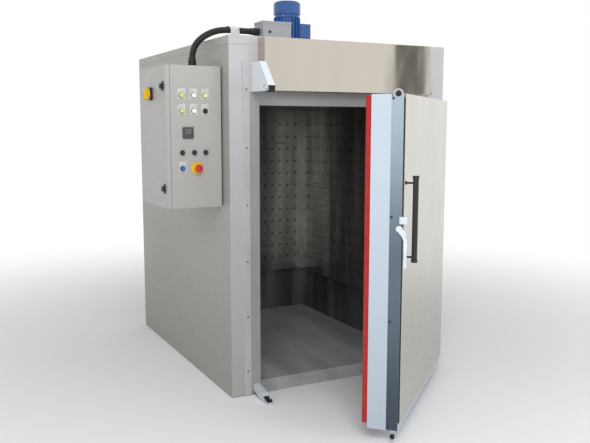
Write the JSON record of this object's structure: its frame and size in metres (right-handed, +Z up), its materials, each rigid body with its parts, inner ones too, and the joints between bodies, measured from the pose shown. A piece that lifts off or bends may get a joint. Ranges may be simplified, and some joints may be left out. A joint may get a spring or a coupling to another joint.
{
  "type": "industrial electric oven",
  "caption": "Tall walk-in industrial electric oven with a hinged insulated door, red gasket, bar handle and rod lock, roof fan motor and a side control cabinet.",
  "frame": {"origin": "on the floor under the centre of the body's base frame", "axes": "+X to the right seen from the front, +Y to the back, +Z up"},
  "size_m": [1.8844, 2.85, 2.438],
  "materials": {
    "base_paint": "matt",
    "floor_steel": "brushed",
    "front_paint": "satin",
    "body_paint": "satin",
    "frame_steel": "brushed",
    "polished_steel": "polished",
    "rail_steel": "brushed",
    "mineral_wool": "matt",
    "liner_steel": "bright",
    "element_steel": "heat tinted",
    "impeller_steel": "brushed",
    "shaft_steel": "turned",
    "stand_paint": "satin",
    "motor_paint": "gloss",
    "box_paint": "satin",
    "black_plastic": "matt",
    "conduit_plastic": "ribbed",
    "clip_paint": "satin",
    "cabinet_paint": "satin",
    "hinge_steel": "satin",
    "lock_metal": "satin",
    "yellow_plastic": "gloss",
    "plate_grey": "satin",
    "lamp_lens": "gloss",
    "device_plastic": "matt",
    "zinc_plate": "zinc",
    "knob_plastic": "satin",
    "blue_plastic": "gloss",
    "red_plastic": "gloss",
    "keeper_steel": "satin",
    "black_nylon": "matt",
    "door_paint": "satin",
    "silicone": "matt",
    "channel_steel": "brushed",
    "case_metal": "satin",
    "rod_steel": "bright",
    "lever_metal": "satin",
    "handle_black": "satin"
  },
  "bodies": {
    "oven_body": {"base_frame": "base_paint", "cabinet_box": "cabinet_paint", "cabinet_hinges": "hinge_steel", "ceiling_baffle": "liner_steel", "chamber_liner": "liner_steel", "conduit": "conduit_plastic", "conduit_clip": "clip_paint", "conduit_glands": "black_plastic", "control_plates": "plate_grey", "door_frame": "frame_steel", "estop_disc": "yellow_plastic", "fan_cowl": "motor_paint", "fascia": "polished_steel", "floor_plate": "floor_steel", "frame_rails": "rail_steel", "front_panels": "front_paint", "heating_elements": "element_steel", "hinge_brackets": "hinge_steel", "junction_box": "box_paint", "keeper_catches": "black_nylon", "keepers": "keeper_steel", "motor_housing": "motor_paint", "motor_stand": "stand_paint", "mounting_plate": "zinc_plate", "pilot_lamps": "lamp_lens", "rear_duct_wall": "liner_steel", "rear_panel": "body_paint", "roof_panel": "body_paint", "side_duct_walls": "liner_steel", "side_panels": "body_paint", "switchgear": "device_plastic", "temperature_controller": "black_plastic", "wall_insulation": "mineral_wool"},
    "door": {"door_casing": "door_paint", "door_inner_panel": "liner_steel", "door_insulation": "mineral_wool", "door_gasket": "silicone", "door_skin": "polished_steel", "lock_channel_cover": "channel_steel", "lock_case": "case_metal", "pull_handle": "handle_black", "door_hinge_leaves": "hinge_steel"},
    "lock_lever": {"lock_lever": "lever_metal"},
    "upper_rod": {"upper_rod": "rod_steel"},
    "lower_rod": {"lower_rod": "rod_steel"},
    "cabinet_door": {"cabinet_door": "cabinet_paint", "door_fittings": "black_plastic", "main_switch_collar": "yellow_plastic"},
    "cabinet_lock_upper": {"cabinet_lock_upper": "lock_metal"},
    "cabinet_lock_lower": {"cabinet_lock_lower": "lock_metal"},
    "main_switch_handle": {"main_switch_handle": "yellow_plastic"},
    "selector_upper": {"selector_upper": "knob_plastic"},
    "selector_left": {"selector_left": "knob_plastic"},
    "selector_middle": {"selector_middle": "knob_plastic"},
    "selector_right": {"selector_right": "knob_plastic"},
    "blue_button": {"blue_button": "blue_plastic"},
    "estop_head": {"estop_head": "red_plastic"},
    "fan_rotor": {"motor_shaft": "shaft_steel", "impeller": "impeller_steel"}
  },
  "joints": [
    {"name": "door_swing", "type": "hinge", "parent": "oven_body", "child": "door", "pos_m": [0.613, -1.071, 0.9], "axis": [0, 0, 1], "range_deg": [-42, 78]},
    {"name": "lever_turn", "type": "hinge", "parent": "door", "child": "lock_lever", "pos_m": [-0.26911, -1.89217, 1.106], "axis": [-0.7431, -0.6691, 0], "range_deg": [0, 90]},
    {"name": "upper_rod_slide", "type": "slide", "parent": "door", "child": "upper_rod", "axis": [0, 0, 1], "range_m": [0, 0.025]},
    {"name": "lower_rod_slide", "type": "slide", "parent": "door", "child": "lower_rod", "axis": [0, 0, -1], "range_m": [0, 0.025]},
    {"name": "cabinet_door_swing", "type": "hinge", "parent": "oven_body", "child": "cabinet_door", "pos_m": [-1.062, -0.302, 1.532], "axis": [0, 0, -1], "range_deg": [0, 120]},
    {"name": "upper_lock_turn", "type": "hinge", "parent": "cabinet_door", "child": "cabinet_lock_upper", "pos_m": [-1.09, -0.76, 1.816], "axis": [1, 0, 0], "range_deg": [0, 90]},
    {"name": "lower_lock_turn", "type": "hinge", "parent": "cabinet_door", "child": "cabinet_lock_lower", "pos_m": [-1.09, -0.76, 1.243], "axis": [1, 0, 0], "range_deg": [0, 90]},
    {"name": "main_switch_turn", "type": "hinge", "parent": "cabinet_door", "child": "main_switch_handle", "pos_m": [-1.1, -0.53, 1.781], "axis": [-1, 0, 0], "range_deg": [0, 90]},
    {"name": "selector_upper_turn", "type": "hinge", "parent": "oven_body", "child": "selector_upper", "pos_m": [-0.856, -0.82, 1.68], "axis": [0, -1, 0], "range_deg": [-45, 45]},
    {"name": "selector_left_turn", "type": "hinge", "parent": "oven_body", "child": "selector_left", "pos_m": [-0.995, -0.82, 1.447], "axis": [0, -1, 0], "range_deg": [-45, 45]},
    {"name": "selector_middle_turn", "type": "hinge", "parent": "oven_body", "child": "selector_middle", "pos_m": [-0.924, -0.82, 1.447], "axis": [0, -1, 0], "range_deg": [-45, 45]},
    {"name": "selector_right_turn", "type": "hinge", "parent": "oven_body", "child": "selector_right", "pos_m": [-0.856, -0.82, 1.447], "axis": [0, -1, 0], "range_deg": [-45, 45]},
    {"name": "blue_button_push", "type": "slide", "parent": "oven_body", "child": "blue_button", "axis": [0, 1, 0], "range_m": [0, 0.004], "stiffness_N_per_m": 300},
    {"name": "estop_push", "type": "slide", "parent": "oven_body", "child": "estop_head", "axis": [0, 1, 0], "range_m": [0, 0.005], "stiffness_N_per_m": 600},
    {"name": "fan_spin", "type": "hinge", "parent": "oven_body", "child": "fan_rotor", "pos_m": [0, -0.141, 2], "axis": [0, 0, 1], "continuous": true}
  ],
  "couplings": [
    {"joint": "upper_rod_slide", "follows": "lever_turn", "m_per_rad": 0.015915},
    {"joint": "lower_rod_slide", "follows": "lever_turn", "m_per_rad": 0.015915}
  ]
}
